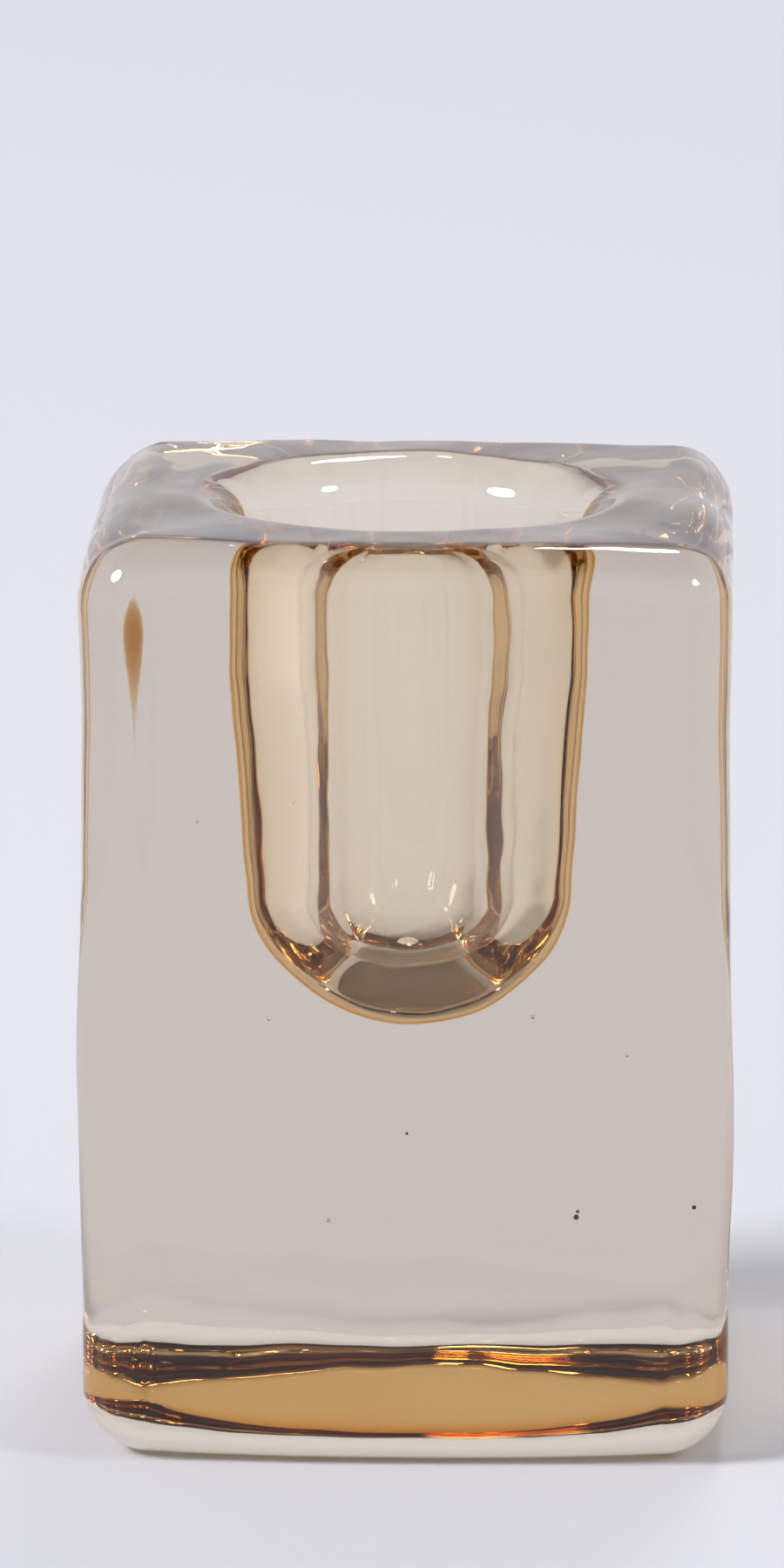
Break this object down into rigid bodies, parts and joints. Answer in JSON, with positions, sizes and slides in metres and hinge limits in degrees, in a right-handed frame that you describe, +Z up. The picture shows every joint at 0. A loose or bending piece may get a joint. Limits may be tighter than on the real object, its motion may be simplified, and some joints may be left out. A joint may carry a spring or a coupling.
{
  "type": "glass candlestick",
  "caption": "Thick square glass block with rounded edges, a round candle well in the top and a flat underside.",
  "frame": {"origin": "middle of the base, on the surface that the block stands on", "axes": "+Z up along the candle well's axis; -Y is the front; the four sides are alike"},
  "size_m": [0.0458, 0.0458, 0.0653],
  "materials": {
    "glass": "fire-polished clear glass with a pale champagne tint"
  },
  "bodies": {
    "root": {"glass_block": "glass"}
  },
  "joints": []
}
